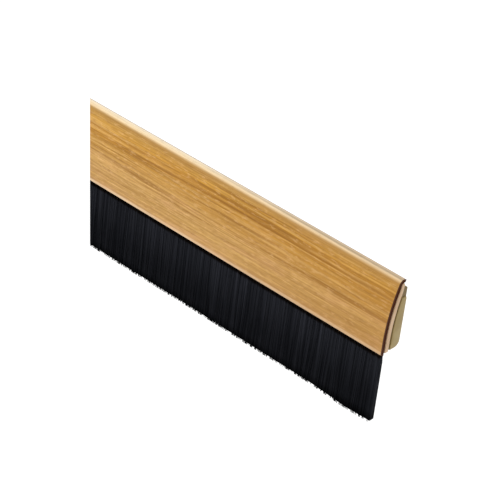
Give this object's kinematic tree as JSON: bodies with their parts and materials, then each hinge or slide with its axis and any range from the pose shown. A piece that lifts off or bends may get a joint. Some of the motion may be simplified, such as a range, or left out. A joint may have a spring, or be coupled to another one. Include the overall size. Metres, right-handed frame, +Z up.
{
  "type": "door sweep",
  "caption": "Straight brush strip for the foot of a door: slotted carrier, hook-on wood-effect cover that swings up over the screws, and a row of black bristles.",
  "frame": {"origin": "on the back of the carrier, the plane that lies against the door, at mid-length and level with the screws", "axes": "+X along the sweep, +Y into the door, +Z up the door"},
  "size_m": [0.914, 0.0189, 0.053],
  "materials": {
    "carrier_plastic": "satin beige extruded plastic",
    "oak_effect_plastic": "golden oak woodgrain foil on plastic, semi-gloss",
    "cap_plastic": "satin beige moulded plastic",
    "galvanised_steel": "bright galvanised strip",
    "zinc_plated_steel": "zinc plated",
    "bristle": "black polypropylene filament"
  },
  "bodies": {
    "carrier_body": {"carrier": "carrier_plastic", "end_cap_left": "cap_plastic", "end_cap_right": "cap_plastic", "brush_holder": "galvanised_steel", "core_wire": "galvanised_steel"},
    "cover_body": {"cover": "oak_effect_plastic"},
    "brush_body": {"bristles": "bristle"},
    "fixings": {"screw_1": "zinc_plated_steel", "screw_2": "zinc_plated_steel", "screw_3": "zinc_plated_steel", "screw_4": "zinc_plated_steel", "screw_5": "zinc_plated_steel", "screw_6": "zinc_plated_steel"}
  },
  "joints": [
    {"name": "cover_swing", "type": "hinge", "parent": "carrier_body", "child": "cover_body", "pos_m": [0, -0.003, 0.0094], "axis": [-1, 0, 0], "range_deg": [0, 65]},
    {"name": "height_adjust", "type": "slide", "parent": "carrier_body", "child": "fixings", "axis": [0, 0, 1], "range_m": [-0.0025, 0.0025]},
    {"name": "brush_flex", "type": "hinge", "parent": "carrier_body", "child": "brush_body", "pos_m": [0, -0.0045, -0.0132], "axis": [-1, 0, 0], "range_deg": [-30, 30], "stiffness_Nm_per_rad": 0.3, "deforming": ["bristles"]}
  ]
}
